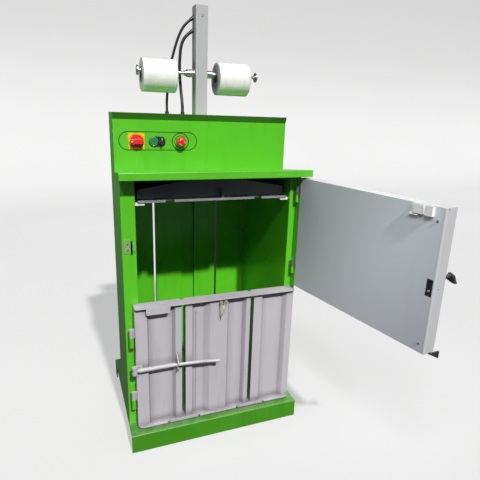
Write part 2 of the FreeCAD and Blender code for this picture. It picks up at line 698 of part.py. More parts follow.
def make_gate():
    """Three folded pans between a top and a bottom flange, with two strap slots between."""
    back, front, pan = -D["gate_back"], -D["gate_front"], -D["gate_pan"]
    x0, x1, s = -D["gate_left_x"], D["gate_right_x"], D["gate_slot"]
    low, high = D["gate_low"] + G, D["gate_high"] - G
    a, c = -132.3 - s / 2, 157.3 - s / 2
    b = body("gate_left", (0, 0, low))
    pad(b, "XY", [fold([(x0, back), (x0, front), (-274, front), (-268, pan), (-175, pan),
                        (-165, front), (a, front), (a, back)])], 0, high - low)
    b = body("gate_mid", (0, 0, low))
    a = a + s
    pad(b, "XY", [fold([(a, back), (a, front), (-97.5, front), (-97.5, pan), (-47, pan),
                        (-23.5, front), (50.5, front), (60, pan), (121, pan), (131.5, front),
                        (c, front), (c, back)])], 0, high - low)
    b = body("gate_right", (0, 0, low))
    c = c + s
    pad(b, "XY", [fold([(c, back), (c, front), (203, front), (203, pan), (302, pan),
                        (317, front), (x1, front), (x1, back)])], 0, high - low)
    b = body("gate_top", (0, 0, high))
    edge = -D["gate_top_edge"]
    f = pad(b, "XY", [rect(x0, edge, x1, -1)], 0, G)
    fillet(b, f, 10, lambda e: upright(e, (x0, edge), (x1, edge)))
    cut(b, "XY", [rect(-139.8, -12, -124.8, 0), rect(149.8, -12, 164.8, 0)], -1, G + 2)
    pad(b, "XZ", [[(-279, 0), (-279, -22), (-275, -26), (-195, -26), (-188, -18), (-188, 0)]],
        edge, G)
    b = body("gate_bottom", (0, 0, D["gate_low"]))
    edge = -D["gate_low_edge"]
    f = pad(b, "XY", [rect(x0, edge, x1, -1)], 0, G)
    fillet(b, f, 22, lambda e: upright(e, (x0, edge), (x1, edge)))
    cut(b, "XY", [rect(n - 3, edge - 1, n + 3, edge + 9) for n in (-200, -71, 97, 221)],
        -1, G + 2)
    for a, c in ((-194, -77), (103, 215)):
        pad(b, "XZ", [rect(a, G, c, 12)], edge, G)


def make_lever():
    """Clevis on the gate's edge, the swing bar in it, and the fork that holds the bar."""
    z = D["lever_z"]
    px, py = -327, -57
    b = body("lever_boss", (0, 0, z))
    f = pad(b, "XY", [[(-339, -53), (-337, -63), (-328, -68), (-319, -63), (-314, -47),
                       (-296, -45), (-296, -42), (-320, -42), (-334, -46)]], -15.5, 31)
    cut(b, "XY", [rect(-345, -77, -290, -45.5)], -7.5, 15)
    pad(b, "XY", [("circle", px, py, 4)], -19, 38)
    b = body("lever_bar", (0, 0, z))
    path = [(px, py), (-157, -61), (-56, -70), (6, -84)]
    sk = b.newObject("Sketcher::SketchObject", "Path")
    sk.AttachmentSupport = [([o for o in b.Origin.OriginFeatures if o.Role == "XY_Plane"][0], "")]
    sk.MapMode = "FlatFace"
    for p, q in zip(path[:-1], path[1:]):
        sk.addGeometry(Part.LineSegment(V(p[0] + (9 if p == path[0] else 0), p[1], 0),
                                        V(q[0], q[1], 0)), False)
    n = len(path) - 1
    for i in range(n - 1):
        sk.addConstraint(Sketcher.Constraint("Coincident", i, 2, i + 1, 1))
    for i in range(n):
        p = path[i]
        constrain(sk, "DistanceX", i, 1, p[0] + (9 if i == 0 else 0))
        constrain(sk, "DistanceY", i, 1, p[1])
    constrain(sk, "DistanceX", n - 1, 2, path[-1][0])
    constrain(sk, "DistanceY", n - 1, 2, path[-1][1])
    ring = sketch(b, "YZ", [("circle", py, 0, 6.5)], px + 9)
    pipe = b.newObject("PartDesign::AdditivePipe", "Bar")
    pipe.Profile = ring
    pipe.Spine = (sk, ["Edge%d" % (i + 1) for i in range(n)])
    pipe.Transition = "Round corner"
    pad(b, "XY", [("circle", px, py, 10)], -7, 14)
    pad(b, "YZ", [("circle", py - 1, 0, 8.5)], px + 15, 141)
    cut(b, "XY", [("circle", px, py, 4.05)], -8, 16)
    b = body("lever_fork", (-164, 0, z))
    pad(b, "YZ", [[(-42, 47), (-51, 41), (-71, 22), (-77, 12), (-77, 9), (-52.5, 9),
                   (-52.5, -9), (-77, -9), (-77, -14), (-71, -24), (-49, -35), (-42, -35)]], 0, 4)


# ---------------------------------------------------------------- small fittings and controls

def make_keeper():
    """Strike plate beside the lock slot, and the catch lug on the slot's other side."""
    b = body("keeper")
    b.AllowCompound = True
    pad(b, "XZ", [rect(-342.5, 807, -321, 860)], -2.5, 2.5)
    lug = pad(b, "XZ", [rect(-310.5, 815, -304, 845)], -5, 5)
    fillet(b, lug, 1.5, lambda e: e.BoundBox.YMax < -4.9 and e.BoundBox.ZLength > 5)


def make_screws():
    """Round-headed screws: cap, strike plate and service cover."""
    parts = []
    spots = [(7, D["mast_y"] - D["mast_d"] / 2, 1668, 90), (-331, -2.5, 845, 90),
             (-331, -2.5, 820, 90)]
    for x in (-300, -60, 80, 300):
        for z in (1110, 1275):
            spots.append((x, COL_DEEP, z, -90))
    for i, (x, y, z, turn) in enumerate(spots):
        c = doc.addObject("Part::Cone", "Head%d" % i)
        c.Radius1, c.Radius2, c.Height = 5, 3.2, 2.6
        place(c, (x, y, z), (1, 0, 0), turn)
        parts.append(c)
    group("frame_screws", parts)


def make_controls():
    y = D["box_front"]
    b = body("switch_plate")
    f = pad(b, "XZ", [rect(-296, 1171, -236, 1231)], y - 2.5, 2.5)
    fillet(b, f, 4, lambda e: e.BoundBox.YLength > 2 and e.BoundBox.XLength < 0.1
           and e.BoundBox.ZLength < 0.1)
    cut(b, "XZ", [("circle", -266, 1201, 6.5)], y - 4, 5)
    b = body("switch_knob", (-266, y - 3, 1201))
    f = pad(b, "XZ", [("circle", 0, 0, 25)], -9, 9)
    grip = [(-24, -6), (-18, -9), (18, -9), (24, -6), (24, 6), (18, 9), (-18, 9), (-24, 6)]
    g = pad(b, "XZ", [grip], -24, 15)
    fillet(b, g, 2, lambda e: e.BoundBox.YMax < -23.9)
    pad(b, "XZ", [("circle", 0, 0, 6)], 0, 12)
    b = body("selector_plate")
    f = pad(b, "XZ", [rect(-220, 1182, -156, 1220)], y - 3, 3)
    fillet(b, f, 18.5, lambda e: e.BoundBox.YLength > 2 and e.BoundBox.XLength < 0.1
           and e.BoundBox.ZLength < 0.1)
    cut(b, "XZ", [("circle", -202, 1202, 14.4), ("circle", -173, 1204, 6.5)], y - 4, 5)
    b = body("green_button", (-202, y, 1202))
    f = pad(b, "XZ", [("circle", 0, 0, 14)], -7, 20)
    fillet(b, f, 1.2, lambda e: e.BoundBox.YMax < -6.9)
    b = body("selector_knob", (-173, y - 3.4, 1204))
    pad(b, "XZ", [("circle", 0, 0, 12)], -6, 6)
    f = pad(b, "XZ", [[(-4, -13), (4, -13), (5, 12), (2, 16), (-2, 16), (-5, 12)]], -17, 11)
    pad(b, "XZ", [("circle", 0, 0, 6)], 0, 12)
    b = body("estop_button", (-98, y, 1201), (1, 0, 0), 90)
    f = revolve(b, [(0, -14), (10, -14), (10, 16), (17, 16), (18.5, 19), (18.5, 24),
                    (15, 29), (8, 31.5), (0, 32)])


for make in (make_base, make_base_channel, make_left_column, make_right_column, make_chamber,
             make_floor, make_roof, make_hood, make_panel, make_cover, make_mast, make_ram,
             make_platen, make_guides, make_spindles, make_rolls, make_hoses, make_glands,
             make_power_pack, make_door, make_door_fittings, make_handle, make_hinges,
             make_gate, make_lever, make_keeper, make_screws, make_controls):
    make()
doc.recompute()

# Every object recomputed, every cut takes something away, every sub-part is one valid shape.
bad = [o.Label for o in doc.Objects if "Invalid" in o.State or "Error" in o.State]
for f in CUTS:
    owner = f.getParentGeoFeatureGroup()
    feats = [o for o in owner.Group if o.isDerivedFrom("PartDesign::Feature")]
    before = feats[feats.index(f) - 1]
    if f.Shape.Volume >= before.Shape.Volume - 1e-3:
        bad.append(owner.Label + "/" + f.Label + " cuts nothing")
for o in NODES:
    if o.Shape.isNull() or not o.Shape.isValid() or o.Shape.Volume <= 0:
        bad.append(o.Label + " shape")
if bad:
    raise RuntimeError("not built: " + ", ".join(bad))

os.makedirs("parts", exist_ok=True)
for o in NODES:
    o.Shape.exportStep(os.path.join("parts", o.Label + ".step"))
print(len(NODES), "nodes")
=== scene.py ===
import bpy
import bmesh
import json
import math
import random
from mathutils import Matrix, Vector, noise


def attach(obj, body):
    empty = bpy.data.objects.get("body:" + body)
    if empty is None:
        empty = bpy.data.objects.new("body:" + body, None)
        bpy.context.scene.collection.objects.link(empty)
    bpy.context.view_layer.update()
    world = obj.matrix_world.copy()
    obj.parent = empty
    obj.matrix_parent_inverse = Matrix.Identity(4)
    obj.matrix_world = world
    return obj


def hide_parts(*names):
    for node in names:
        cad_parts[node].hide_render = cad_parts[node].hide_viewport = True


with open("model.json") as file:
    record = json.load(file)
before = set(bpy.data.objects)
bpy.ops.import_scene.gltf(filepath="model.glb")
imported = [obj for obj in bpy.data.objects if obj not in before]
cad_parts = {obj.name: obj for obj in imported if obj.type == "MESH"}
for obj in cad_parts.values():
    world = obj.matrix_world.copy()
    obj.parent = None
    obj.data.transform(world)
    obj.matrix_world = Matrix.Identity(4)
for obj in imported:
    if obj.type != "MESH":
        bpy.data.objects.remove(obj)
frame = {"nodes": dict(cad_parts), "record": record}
NODES = frame["nodes"]
SLOT = {s["node"]: s["material_slot"] for s in frame["record"]["subparts"]}
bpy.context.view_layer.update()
scene = bpy.context.scene
MM = 0.001
FRONT = (0, -1, 0)
UP = (0, 0, 1)

# Camera fitted to points on the photograph's outline; metres, radians and pixels.
CAMERA_AT = (-0.5151, -1.5613, 1.3072)
YAW, PITCH, ROLL = 0.3809, 0.2782, 0.0335
FOCAL_PX, PICTURE_PX, SENSOR_MM = 436.62, 480, 36


# ------------------------------------------------------------------ camera and light

def camera():
    fwd = Vector((math.sin(YAW) * math.cos(PITCH), math.cos(YAW) * math.cos(PITCH),
                  -math.sin(PITCH)))
    right = Vector((math.cos(YAW), -math.sin(YAW), 0))
    up = right.cross(fwd)
    r = math.cos(ROLL) * right + math.sin(ROLL) * up
    u = -math.sin(ROLL) * right + math.cos(ROLL) * up
    cam = bpy.data.objects.new("camera", bpy.data.cameras.new("camera"))
    scene.collection.objects.link(cam)
    cam.data.sensor_width = SENSOR_MM
    cam.data.lens = FOCAL_PX / PICTURE_PX * SENSOR_MM
    cam.data.clip_start, cam.data.clip_end = 0.05, 60
    rot = Matrix((r, u, -fwd)).transposed().to_4x4()
    cam.matrix_world = Matrix.Translation(CAMERA_AT) @ rot
    scene.camera = cam


def lamp(name, kind, energy, direction, place=(0, 0, 0)):
    """A lamp at a place that points along a direction."""
    o = bpy.data.objects.new(name, bpy.data.lights.new(name, kind))
    scene.collection.objects.link(o)
    o.data.energy = energy
    o.location = place
    o.rotation_euler = Vector(direction).to_track_quat("-Z", "Y").to_euler()
    return o.data


def sun(name, energy, angle, direction, colour):
    data = lamp(name, "SUN", energy, direction)
    data.angle = math.radians(angle)
    data.color = colour


def lights():
    """A high frontal key for the crisp shadows, a weak fill from the left and one from the
    rear, a spot for the open door, a small card beside the left column and a dim dome."""
    scene.view_settings.view_transform = "Standard"
    world = bpy.data.worlds.new("studio")
    scene.world = world
    world.use_nodes = True
    bg = world.node_tree.nodes["Background"]
    bg.inputs["Color"].default_value = (0.93, 0.96, 1.0, 1)
    bg.inputs["Strength"].default_value = 0.10
    sun("key", 3.7, 2.2, (-0.07, 1.0, -0.985), (1.0, 0.985, 0.96))
    sun("fill", 0.7, 6.0, (0.36, 1.0, -1.0), (0.97, 0.98, 1.0))
    sun("rear", 0.55, 30.0, (-0.6, -0.8, -0.45), (0.97, 0.98, 1.0))
    spot_at, door_middle = Vector((-0.30, -1.25, 2.1)), Vector((0.455, -0.50, 0.84))
    spot = lamp("door_spot", "SPOT", 68, door_middle - spot_at, spot_at)
    spot.shadow_soft_size = 0.25
    spot.spot_size = math.radians(30)
    spot.spot_blend = 1.0
    card = lamp("side_card", "AREA", 4.5, (1.0, 0.05, -0.25), (-1.3, 0.1, 1.5))
    card.size = 0.5


def backdrop(mat):
    """Floor that curves up into a wall far behind the machine."""
    near, back, bend, top, half_width, steps = -9.0, 5.0, 3.0, 9.0, 12, 12
    sink = 0.0004
    mesh = bpy.data.meshes.new("backdrop")
    bm = bmesh.new()
    profile = [(near, 0.0), (back, 0.0)]
    for i in range(1, steps + 1):
        a = math.pi / 2 * i / steps
        profile.append((back + bend * math.sin(a), bend - bend * math.cos(a)))
    profile.append((back + bend, top))
    rows = [[bm.verts.new((x, y, z - sink)) for y, z in profile]
            for x in (-half_width, half_width)]
    for i in range(len(profile) - 1):
        f = bm.faces.new((rows[0][i], rows[1][i], rows[1][i + 1], rows[0][i + 1]))
        f.smooth = True
    bm.to_mesh(mesh)
    bm.free()
    o = bpy.data.objects.new("backdrop", mesh)
    scene.collection.objects.link(o)
    mesh.materials.append(mat)
    o.visible_glossy = False
    o.visible_diffuse = False


# ------------------------------------------------------------------ materials

class Tree:
    """A material's node tree with short helpers."""

    def __init__(self, name):
        self.mat = bpy.data.materials.new(name)
        self.mat.use_nodes = True
        self.t = self.mat.node_tree
        self.bsdf = self.t.nodes["Principled BSDF"]
        self.place = self.add("ShaderNodeTexCoord").outputs["Object"]

    def add(self, kind, **props):
        n = self.t.nodes.new(kind)
        for k, v in props.items():
            setattr(n, k, v)
        return n

    def link(self, a, b):
        self.t.links.new(a, b)

    def set(self, **sockets):
        names = dict(metal="Metallic", coat="Coat Weight", coat_rough="Coat Roughness",
                     spec="Specular IOR Level", sss="Subsurface Weight")
        for k, v in sockets.items():
            self.bsdf.inputs[names[k]].default_value = v

    def coords(self, scale=(1, 1, 1), turn=(0, 0, 0)):
        m = self.add("ShaderNodeMapping")
        m.inputs["Scale"].default_value = scale
        m.inputs["Rotation"].default_value = turn
        self.link(self.place, m.inputs["Vector"])
        return m.outputs["Vector"]

    def noise(self, scale, detail=3.0, rough=0.55, stretch=(1, 1, 1), turn=(0, 0, 0)):
        n = self.add("ShaderNodeTexNoise")
        n.inputs["Scale"].default_value = scale
        n.inputs["Detail"].default_value = detail
        n.inputs["Roughness"].default_value = rough
        self.link(self.coords(stretch, turn), n.inputs["Vector"])
        return n.outputs[0]

    def span(self, value, lo, hi, out_lo=0.0, out_hi=1.0):
        m = self.add("ShaderNodeMapRange")
        for k, v in zip((1, 2, 3, 4), (lo, hi, out_lo, out_hi)):
            m.inputs[k].default_value = v
        self.link(value, m.inputs[0])
        return m.outputs[0]

    def math(self, op, a, b):
        m = self.add("ShaderNodeMath", operation=op)
        for i, v in enumerate((a, b)):
            if isinstance(v, (int, float)):
                m.inputs[i].default_value = v
            else:
                self.link(v, m.inputs[i])
        return m.outputs[0]

    def mix(self, fac, a, b):
        m = self.add("ShaderNodeMix", data_type="RGBA")
        for i, v in ((0, fac), (6, a), (7, b)):
            if isinstance(v, (int, float)):
                m.inputs[i].default_value = v
            elif isinstance(v, tuple):
                m.inputs[i].default_value = (*v[:3], 1)
            else:
                self.link(v, m.inputs[i])
        return m.outputs[2]

    def colour(self, value):
        self.link(value, self.bsdf.inputs["Base Color"])

    def roughness(self, value):
        self.link(value, self.bsdf.inputs["Roughness"])

    def rounded(self, radius):
        n = self.add("ShaderNodeBevel", samples=4)
        n.inputs["Radius"].default_value = radius
        return n.outputs["Normal"]

    def edges(self, radius):
        """1 close to an edge, 0 on flat faces."""
        geo = self.add("ShaderNodeNewGeometry")
        dot = self.add("ShaderNodeVectorMath", operation="DOT_PRODUCT")
        self.link(self.rounded(radius), dot.inputs[0])
        self.link(geo.outputs["Normal"], dot.inputs[1])
        return self.span(self.math("SUBTRACT", 1.0, dot.outputs["Value"]), 0.02, 0.25)

    def upward(self, lo=0.6, hi=0.95):
        """1 on faces whose normal's height is past hi, 0 before lo."""
        geo = self.add("ShaderNodeNewGeometry")
        sep = self.add("ShaderNodeSeparateXYZ")
        self.link(geo.outputs["Normal"], sep.inputs[0])
        return self.span(sep.outputs["Z"], lo, hi)

    def bump(self, height, strength, distance, normal=None):
        b = self.add("ShaderNodeBump")
        b.inputs["Strength"].default_value = strength
        b.inputs["Distance"].default_value = distance
        self.link(height, b.inputs["Height"])
        if normal is not None:
            self.link(normal, b.inputs["Normal"])
        self.link(b.outputs["Normal"], self.bsdf.inputs["Normal"])


def shade(c, k):
    return tuple(min(1.0, v * k) for v in c)


def paint(name, colour, rough=0.34, vary=0.07, chips=0.3, chip=(0.42, 0.43, 0.42), dust=0.25,
          scratches=0.2, grime=0.25, coat=0.25, underside_shade=0.0, hollow_shade=0.0):
    """Powder-coated sheet: slight cloudiness, orange peel, streaks of grime, chips on edges,
    fine scratches and a film of dust on upward faces; optionally painted shade on faces that look
    down and painted shade in corners and recesses."""
    corner, peel = 0.0012, 0.06
    t = Tree(name)
    cloud = t.noise(2.6, 4, 0.6)
    base = t.mix(t.span(cloud, 0.3, 0.7), shade(colour, 1 - vary), shade(colour, 1 + vary))
    streak = t.noise(9, 4, 0.6, stretch=(2.5, 2.5, 0.35))
    dirt = t.math("MULTIPLY", t.span(streak, 0.52, 0.78), grime)
    base = t.mix(dirt, base, shade(colour, 0.45))
    speck = t.math("MULTIPLY", t.span(t.noise(160, 2, 0.5), 0.7, 0.78), 0.35 * grime)
    base = t.mix(speck, base, (0.25, 0.25, 0.23))
    fine = t.span(t.noise(14, 5, 0.7, stretch=(30, 30, 1), turn=(0.5, 0.7, 0.2)), 0.7, 0.75)
    cross = t.span(t.noise(17, 5, 0.7, stretch=(1, 24, 24), turn=(0.2, 0.4, 0.9)), 0.71, 0.76)
    lines = t.math("MULTIPLY", t.math("MAXIMUM", fine, cross), scratches)
    base = t.mix(lines, base, shade(chip, 0.9))
    film = t.math("MULTIPLY", t.math("MULTIPLY", t.upward(), t.span(t.noise(12, 5), 0.35, 0.7)),
                  dust)
    base = t.mix(film, base, (0.62, 0.6, 0.56))
    # Painted shade: ambient occlusion darkens corners and recesses towards a deep tone.
    if hollow_shade:
        near = t.add("ShaderNodeAmbientOcclusion", samples=6)
        near.inputs["Distance"].default_value = 0.035
        hollow_shade_mask = t.span(near.outputs["AO"], 0.5, 0.98, hollow_shade, 0.0)
        base = t.mix(hollow_shade_mask, base, shade(colour, 0.3))
    # Painted shade: faces that look down are darkened.
    if underside_shade:
        base = t.mix(t.math("MULTIPLY", t.upward(-0.1, -0.3), underside_shade), base, shade(colour, 0.12))
    edge = t.math("MULTIPLY", t.edges(corner * 1.4), t.span(t.noise(70, 4, 0.7), 0.5, 0.62))
    edge_tint = t.math("MULTIPLY", edge, chips)
    base = t.mix(edge_tint, base, chip)
    t.colour(base)
    t.roughness(t.math("ADD", t.span(t.noise(7, 4), 0.3, 0.7, rough - 0.06, rough + 0.08),
                       t.math("MULTIPLY", film, 0.3)))
    t.set(coat=coat, coat_rough=0.18)
    t.bump(t.noise(420, 2, 0.5), peel, 0.0006, t.rounded(corner))
    return t.mat


def metal(name, colour, rough=0.32, grain=(1, 1, 1), grain_scale=90, stain=0.3, metallic=1.0):
    """Bare metal with a drawn grain and a few dull stains."""
    t = Tree(name)
    lay = t.noise(grain_scale, 3, 0.6, stretch=grain)
    base = t.mix(t.span(lay, 0.3, 0.7), shade(colour, 0.86), shade(colour, 1.1))
    spot = t.math("MULTIPLY", t.span(t.noise(26, 5, 0.65), 0.55, 0.75), stain)
    base = t.mix(spot, base, (0.16, 0.13, 0.10))
    t.colour(base)
    t.roughness(t.span(lay, 0.25, 0.75, rough - 0.08, rough + 0.1))
    t.set(metal=metallic)
    t.bump(lay, 0.08, 0.0004, t.rounded(0.0006))
    return t.mat


def plastic(name, colour, rough=0.4, gloss=0.0, dust=0.1):
    """Moulded plastic: faint mottling, edges paler all round as wear and a painted highlight,
    specks of dust and a fine grain.
    """
    corner, grain = 0.0008, 900
    t = Tree(name)
    base = t.mix(t.span(t.noise(30, 3), 0.3, 0.7), shade(colour, 0.93), shade(colour, 1.06))
    base = t.mix(t.math("MULTIPLY", t.span(t.noise(220, 3), 0.6, 0.75), dust), base,
                 (0.5, 0.5, 0.48))
    # Every edge is paled alike: wear and a painted highlight.
    edge_tint = t.math("MULTIPLY", t.edges(corner), 0.18)
    base = t.mix(edge_tint, base, shade(colour, 1.6))
    t.colour(base)
    t.roughness(t.span(t.noise(55, 4), 0.3, 0.7, max(0.05, rough - 0.07), rough + 0.07))
    t.set(coat=gloss, coat_rough=0.08)
    t.bump(t.noise(grain, 2), 0.07, 0.0003, t.rounded(corner))
    return t.mat


def strap_film(name):
    """Wound white strap: fine turns across the face, a soft waxy gloss."""
    t = Tree(name)
    turns = t.noise(1, 3, 0.6, stretch=(900, 14, 14))
    broad = t.noise(1, 3, 0.6, stretch=(120, 4, 4))
    base = t.mix(t.span(broad, 0.3, 0.7), (0.80, 0.80, 0.76), (0.93, 0.93, 0.90))
    base = t.mix(t.math("MULTIPLY", t.span(turns, 0.5, 0.8), 0.25), base, (0.60, 0.60, 0.56))
    t.colour(base)
    t.roughness(t.span(turns, 0.3, 0.7, 0.24, 0.40))
    t.set(coat=0.35, coat_rough=0.15, sss=0.5)
    t.bsdf.inputs["Subsurface Radius"].default_value = (1.0, 1.0, 0.92)
    t.bsdf.inputs["Subsurface Scale"].default_value = 0.022
    t.bump(turns, 0.22, 0.0006, t.rounded(0.0015))
    return t.mat


def rubber(name):
    """Matt black hose rubber with a little dust."""
    colour = (0.018, 0.018, 0.02)
    t = Tree(name)
    base = t.mix(t.span(t.noise(24, 4), 0.35, 0.7), shade(colour, 0.8), shade(colour, 1.8))
    base = t.mix(t.math("MULTIPLY", t.span(t.noise(160, 3), 0.58, 0.72), 0.25), base,
                 (0.14, 0.13, 0.12))
    t.colour(base)
    t.roughness(t.span(t.noise(60, 4), 0.3, 0.7, 0.38, 0.58))
    t.bump(t.noise(700, 3), 0.25, 0.0004)
    return t.mat


def floor_paint(name):
    """The backdrop: a soft self-lit grey, darker up the wall as painted shade."""
    t = Tree(name)
    base = t.mix(t.span(t.noise(0.5, 4), 0.3, 0.7), (0.345, 0.345, 0.348), (0.365, 0.365, 0.368))
    height = t.add("ShaderNodeSeparateXYZ")
    t.link(t.place, height.inputs[0])
    # Painted shade: the colour darkens with height up the wall.
    base = t.mix(t.span(height.outputs["Z"], 0.2, 5.0), base, (0.22, 0.22, 0.222))
    t.colour(base)
    t.bsdf.inputs["Emission Color"].default_value = (1, 1, 1, 1)
    t.bsdf.inputs["Emission Strength"].default_value = 0.42
    t.roughness(t.span(t.noise(3, 4), 0.3, 0.7, 0.85, 0.95))
    t.set(spec=0.0)
    t.bump(t.noise(60, 4), 0.05, 0.001)
    return t.mat


MATS = dict(
    # The body green paints shade on faces that look down, such as the control box's top lip.
    body_green=paint("green_coat", (0.093, 0.49, 0.015), rough=0.32, chips=0.35,
                     chip=(0.33, 0.50, 0.26), grime=0.22, dust=0.18, scratches=0.12, underside_shade=0.8),
    # The gate grey paints shade into its pans and corners.
    gate_paint=paint("gate_coat", (0.475, 0.45, 0.49), rough=0.42, vary=0.05, chips=0.5,
                     chip=(0.24, 0.23, 0.23), grime=0.3, dust=0.15, scratches=0.25, coat=0.1,
                     hollow_shade=0.75),
    door_paint=paint("door_coat", (0.47, 0.475, 0.49), rough=0.34, vary=0.02, chips=0.15,
                     chip=(0.7, 0.7, 0.7), grime=0.05, dust=0.05, scratches=0.06),
    mast_paint=paint("mast_coat", (0.46, 0.46, 0.475), rough=0.34, vary=0.03, chips=0.3,
                     chip=(0.7, 0.7, 0.7), grime=0.1, dust=0.05, scratches=0.1),
    platen_paint=paint("platen_coat", (0.075, 0.088, 0.096), rough=0.36, vary=0.15, chips=0.9,
                       chip=(0.62, 0.64, 0.66), grime=0.4, dust=0.35, scratches=0.6, coat=0.1),
    cylinder_paint=paint("black_enamel", (0.02, 0.02, 0.022), rough=0.3, chips=0.4, dust=0.3),
    ground_rod=metal("hard_chrome", (0.78, 0.79, 0.80), 0.12, grain=(30, 30, 1), stain=0.05),
    bright_steel=metal("zinc_steel", (0.62, 0.62, 0.63), 0.34, grain_scale=140, stain=0.25),
    nylon=plastic("nylon", (0.78, 0.78, 0.74), 0.5, dust=0.3),
    strap_film=strap_film("strap_film"),
    core_plastic=plastic("core_tube", (0.30, 0.30, 0.30), 0.55, dust=0.25),
    knob_black=plastic("knob_black", (0.028, 0.028, 0.030), 0.42, dust=0.2),
    hose_rubber=rubber("hose_rubber"),
    fitting_black=plastic("fitting_black", (0.022, 0.022, 0.024), 0.38, dust=0.15),
    switch_yellow=plastic("switch_yellow", (0.86, 0.50, 0.012), 0.34, gloss=0.3, dust=0.05),
    switch_red=plastic("switch_red", (0.72, 0.022, 0.018), 0.28, gloss=0.4, dust=0.04),
    button_green=plastic("button_green", (0.016, 0.22, 0.06), 0.28, gloss=0.4, dust=0.04),
    bare_steel=paint("hinge_coat", (0.42, 0.41, 0.43), rough=0.4, chips=0.6,
                     chip=(0.2, 0.2, 0.2), grime=0.3, scratches=0.3),
    lever_paint=paint("lever_coat", (0.46, 0.44, 0.465), rough=0.4, vary=0.08, chips=0.7,
                      chip=(0.18, 0.17, 0.17), grime=0.4, scratches=0.5, coat=0.1),
)
PRINT = plastic("print_black", (0.012, 0.014, 0.012), 0.5, dust=0.05)
WHITE = plastic("mark_white", (0.80, 0.80, 0.78), 0.4, dust=0.08)
WELD = metal("weld_bead", (0.40, 0.39, 0.40), 0.45, grain_scale=300, stain=0.5, metallic=0.6)

for name, o in NODES.items():
    for s in o.material_slots:
        s.material = MATS[SLOT[name]]
OWN = dict(
    door_liner=paint(
        "liner_coat", (0.59, 0.62, 0.66), rough=0.36, vary=0.02, chips=0.1, chip=(0.7, 0.7, 0.7),
        grime=0.05, dust=0.03, scratches=0.06, coat=0.15),
    keeper=paint(
        "keeper_coat", (0.20, 0.36, 0.13), rough=0.36, vary=0.12, chips=0.8,
        chip=(0.5, 0.52, 0.5), grime=0.4, dust=0.1, scratches=0.5),
    # The base plate's green is darker than the body's as painted shade, standing in for less
    # light reaching it low down; its grime, dust and chips are its own.
    base_plate=paint(
        "base_coat_painted_shade", (0.052, 0.26, 0.008), rough=0.42, vary=0.12, chips=0.4,
        chip=(0.30, 0.42, 0.25), grime=0.45, dust=0.3, scratches=0.3, coat=0.1),
    platen=metal(
        "platen_plate", (0.50, 0.52, 0.53), 0.42, grain=(2, 30, 30), grain_scale=20, stain=0.55,
        metallic=0.75),
    interlock_bracket=paint(
        "bracket_white", (0.74, 0.74, 0.74), rough=0.36, vary=0.03, chips=0.2,
        chip=(0.4, 0.4, 0.4), grime=0.1, dust=0.05, scratches=0.1),
)
for name, mat in OWN.items():
    NODES[name].material_slots[0].material = mat


# ------------------------------------------------------------------ mesh helpers

def finish_mesh(name, bm, mat, body, smooth=True):
    """Turns bm into a piece that rides on a body and stands in a material slot."""
    mesh = bpy.data.meshes.new(name)
    bmesh.ops.recalc_face_normals(bm, faces=bm.faces)
    bm.to_mesh(mesh)
    bm.free()
    o = bpy.data.objects.new(name, mesh)
    scene.collection.objects.link(o)
    mesh.materials.append(mat)
    for p in mesh.polygons:
        p.use_smooth = smooth
    if smooth:
        mod = o.modifiers.new("auto", "EDGE_SPLIT")
        mod.split_angle = math.radians(38)
    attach(o, body)
    return o


def frame_of(at, axis):
    """A point and three unit vectors, the third along the axis."""
    z = Vector(axis).normalized()
    x = (Vector((0, 0, 1)) if abs(z.z) < 0.9 else Vector((1, 0, 0))).cross(z).normalized()
    y = z.cross(x)
    return Vector(at), x, y, z


def lathe(name, outline, at, axis, mat, body, steps=64):
    """Turns an outline of (radius, height) in mm round an axis through at."""
    o, x, y, z = frame_of(at, axis)
    bm = bmesh.new()
    rings = []
    for i in range(steps):
        a = 2 * math.pi * i / steps
        d = x * math.cos(a) + y * math.sin(a)
        rings.append([bm.verts.new(o + d * (r * MM) + z * (h * MM)) for r, h in outline])
    n = len(outline)
    for i in range(steps):
        a, b = rings[i], rings[(i + 1) % steps]
        for k in range(n):
            j = (k + 1) % n
            bm.faces.new((a[k], b[k], b[j], a[j]))
    bmesh.ops.remove_doubles(bm, verts=bm.verts, dist=1e-6)
    return finish_mesh(name, bm, mat, body)


def slab(bm, centre, size, axes=((1, 0, 0), (0, 1, 0), UP)):
    """A box in mm round a centre in mm."""
    c = Vector(centre)
    ax = [Vector(a).normalized() for a in axes]
    vs = []
    for k in (-0.5, 0.5):
        for i, j in ((-0.5, -0.5), (0.5, -0.5), (0.5, 0.5), (-0.5, 0.5)):
            p = c + ax[0] * size[0] * i + ax[1] * size[1] * j + ax[2] * size[2] * k
            vs.append(bm.verts.new(p * MM))
    for f in ((0, 1, 2, 3), (4, 5, 6, 7), (0, 1, 5, 4), (1, 2, 6, 5), (2, 3, 7, 6), (3, 0, 4, 7)):
        bm.faces.new([vs[i] for i in f])


def ribbon(name, path, width, thick, mat, body, closed=True):
    """A flat printed line: path in mm, lying on a face that looks to the front."""
    n = Vector(FRONT)
    pts = [Vector(p) for p in path]
    bm = bmesh.new()
    rows = []
    for i, p in enumerate(pts):
        a = pts[i - 1] if (i or closed) else p
        b = pts[(i + 1) % len(pts)] if (closed or i + 1 < len(pts)) else p
        side = (b - a).normalized().cross(n) * (width / 2)
        rows.append([bm.verts.new(q * MM) for q in (p + side, p - side, p - side + n * thick,
                                                    p + side + n * thick)])
    m = len(rows)
    for i in range(m if closed else m - 1):
        a, b = rows[i], rows[(i + 1) % m]
        for k in range(4):
            j = (k + 1) % 4
            bm.faces.new((a[k], b[k], b[j], a[j]))
    if not closed:
        bm.faces.new(rows[0])
        bm.faces.new(rows[-1])
    return finish_mesh(name, bm, mat, body, smooth=False)


def circle(cx, cz, r, y):
    """A ring of points in mm on a plane that looks to the front."""
    n = 72
    return [(cx + r * math.cos(2 * math.pi * i / n), y, cz + r * math.sin(2 * math.pi * i / n))
            for i in range(n)]


# ------------------------------------------------------------------ strap rolls

